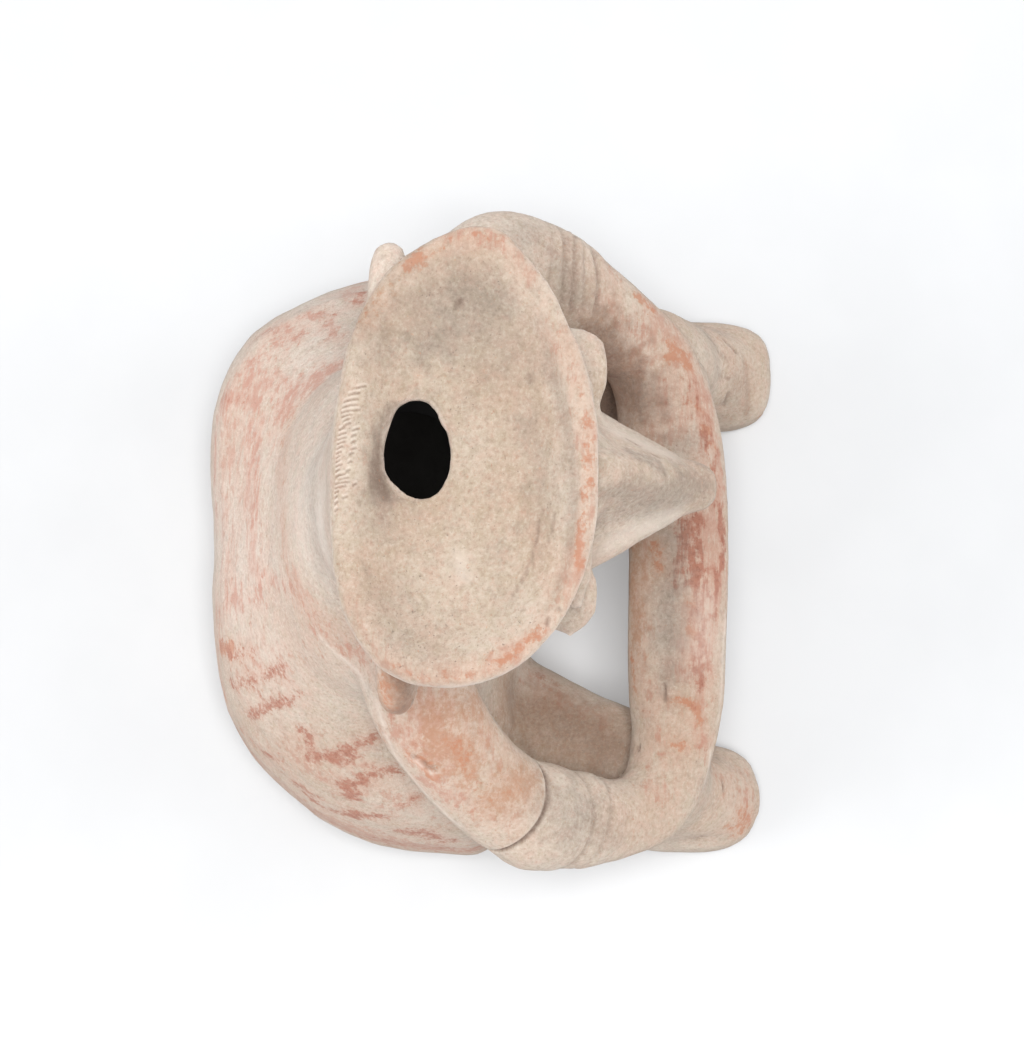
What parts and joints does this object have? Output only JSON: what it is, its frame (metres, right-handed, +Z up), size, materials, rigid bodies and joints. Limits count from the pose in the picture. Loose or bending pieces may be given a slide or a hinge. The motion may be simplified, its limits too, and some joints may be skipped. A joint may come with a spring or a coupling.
{
  "type": "pre-columbian seated figure",
  "caption": "Hollow fired-clay seated figure with arms folded across drawn-up knees, a long nose and a dished oval crown with a vent hole; worn red-brown slip on buff clay.",
  "frame": {"origin": "centre of the footprint of the figure's bounding box, on the surface that it sits on", "axes": "+Z up, the figure faces -Y, its own left hand is at +X"},
  "size_m": [0.2336, 0.2212, 0.3239],
  "materials": {
    "fired_clay": "matt low-fired buff clay with worn red-brown slip paint"
  },
  "bodies": {
    "root": {"seated_figure": "fired_clay"}
  },
  "joints": []
}
